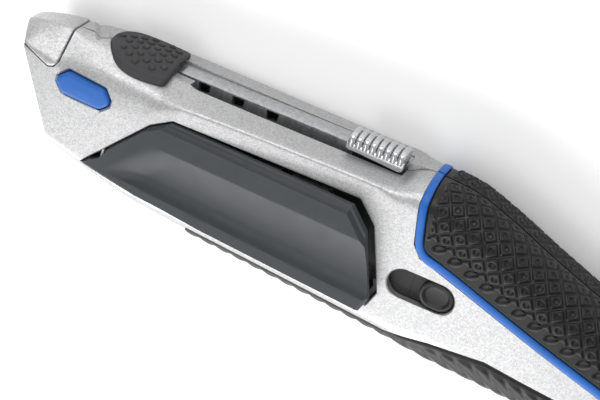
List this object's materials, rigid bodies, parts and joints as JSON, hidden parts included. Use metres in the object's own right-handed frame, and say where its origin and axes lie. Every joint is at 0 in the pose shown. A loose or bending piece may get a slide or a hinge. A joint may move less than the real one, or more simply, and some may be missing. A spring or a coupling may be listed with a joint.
{
  "type": "utility knife",
  "caption": "Retractable utility knife with a metal body, sliding blade carrier, blade release button, hinged spare-blade magazine door with sliding latch, and rubber grips.",
  "frame": {"origin": "on the flat far side that the knife lies on, below the middle of the body", "axes": "+X towards the nose, -Y towards the spine, +Y towards the belly, +Z out of the side with the magazine door"},
  "size_m": [0.1826, 0.0519, 0.03],
  "materials": {
    "silver_paint": "fine metallic silver paint on die-cast metal",
    "chrome": "polished chrome plate",
    "blade_steel": "ground steel",
    "grey_rubber": "matt dark grey soft plastic with raised dots",
    "black_rubber": "black soft plastic with a diamond pattern",
    "blue_plastic": "satin blue plastic",
    "door_grey": "satin dark grey",
    "black_plastic": "moulded black plastic"
  },
  "bodies": {
    "body": {"near_shell": "silver_paint", "far_shell": "silver_paint", "nose_cap": "silver_paint", "spare_blade_1": "blade_steel", "spare_blade_2": "blade_steel", "spare_blade_3": "blade_steel", "detent_rail": "blade_steel", "button_spring": "blade_steel", "magazine_spring": "blade_steel", "door_hinge_pin": "blade_steel", "shell_screw_front": "blade_steel", "shell_screw_middle": "blade_steel", "shell_screw_rear": "blade_steel", "thumb_rest": "grey_rubber", "left_grip": "black_rubber", "right_grip": "black_rubber", "belly_grip": "black_rubber", "left_trim": "blue_plastic", "right_trim": "blue_plastic", "blade_guide": "black_plastic", "magazine_tray": "black_plastic", "latch_guide": "black_plastic"},
    "slider": {"slider_knob": "chrome", "blade_carrier": "black_plastic", "blade": "blade_steel", "detent_spring": "blade_steel"},
    "button": {"release_button": "blue_plastic"},
    "door": {"magazine_door": "door_grey"},
    "latch": {"latch_slider": "black_plastic", "latch_bolt": "blade_steel"}
  },
  "joints": [
    {"name": "blade_slide", "type": "slide", "parent": "body", "child": "slider", "axis": [1, 0, 0], "range_m": [0, 0.0388]},
    {"name": "release_press", "type": "slide", "parent": "body", "child": "button", "axis": [0, 0, -1], "range_m": [0, 0.0015], "stiffness_N_per_m": 600, "deforming": ["button_spring"]},
    {"name": "door_hinge", "type": "hinge", "parent": "body", "child": "door", "pos_m": [0.0515, 0.006, 0.0222], "axis": [0, 1, 0], "range_deg": [-4.2, 60]},
    {"name": "latch_slide", "type": "slide", "parent": "body", "child": "latch", "axis": [1, 0, 0], "range_m": [0, 0.0042]}
  ]
}
